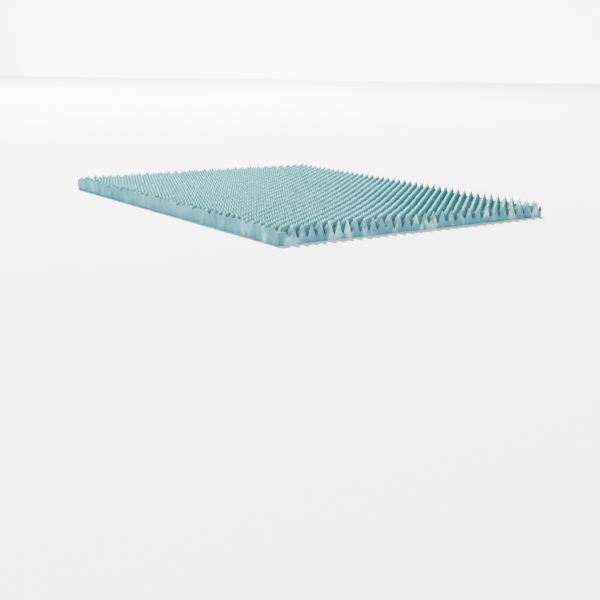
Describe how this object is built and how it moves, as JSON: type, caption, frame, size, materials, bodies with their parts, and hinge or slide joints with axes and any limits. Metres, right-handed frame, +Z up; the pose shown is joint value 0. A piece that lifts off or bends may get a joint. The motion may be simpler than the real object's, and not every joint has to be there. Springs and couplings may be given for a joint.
{
  "type": "mattress topper",
  "caption": "Convoluted foam mattress topper: a flat rectangular foam slab with a flat underside and a top of pointed, staggered teeth.",
  "frame": {"origin": "middle of the flat underside", "axes": "+Z up through the teeth, +Y from the foot end to the head end, +X across the bed to the right when it is seen from the foot end"},
  "size_m": [1.524, 2.032, 0.081],
  "materials": {
    "blue_foam": "matt open-cell foam, light aqua blue"
  },
  "bodies": {
    "root": {"topper_foam": "blue_foam"}
  },
  "joints": []
}
